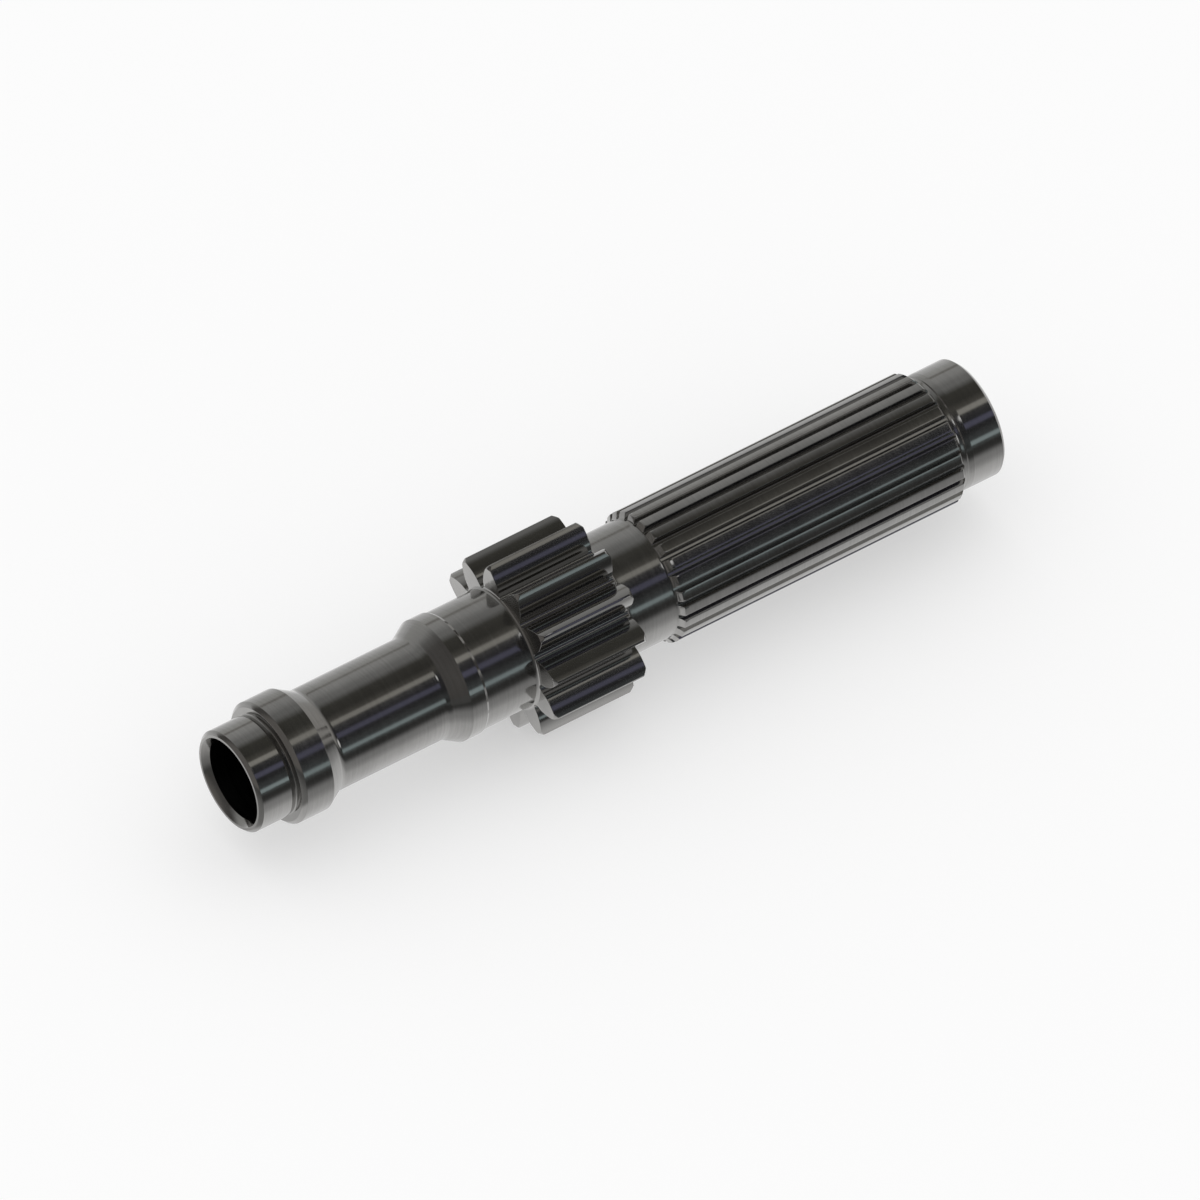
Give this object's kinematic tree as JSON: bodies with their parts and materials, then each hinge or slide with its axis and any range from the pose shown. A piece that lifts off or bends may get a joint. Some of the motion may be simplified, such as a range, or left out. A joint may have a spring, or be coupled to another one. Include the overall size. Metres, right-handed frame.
{
  "type": "transmission shaft",
  "caption": "Hollow steel shaft with a cut spur gear, a long external spline, a stepped collar and hub, and a bearing seat at each end.",
  "frame": {"origin": "centre of the near end face, on the shaft's axis", "axes": "+X along the shaft from the near bearing seat to the far one; a gap between two gear teeth faces -Z, and a gap of the spline faces -Y"},
  "size_m": [0.2027, 0.0424, 0.0424],
  "materials": {
    "steel": "ground and lightly oiled dark steel"
  },
  "bodies": {
    "root": {"shaft": "steel"}
  },
  "joints": []
}
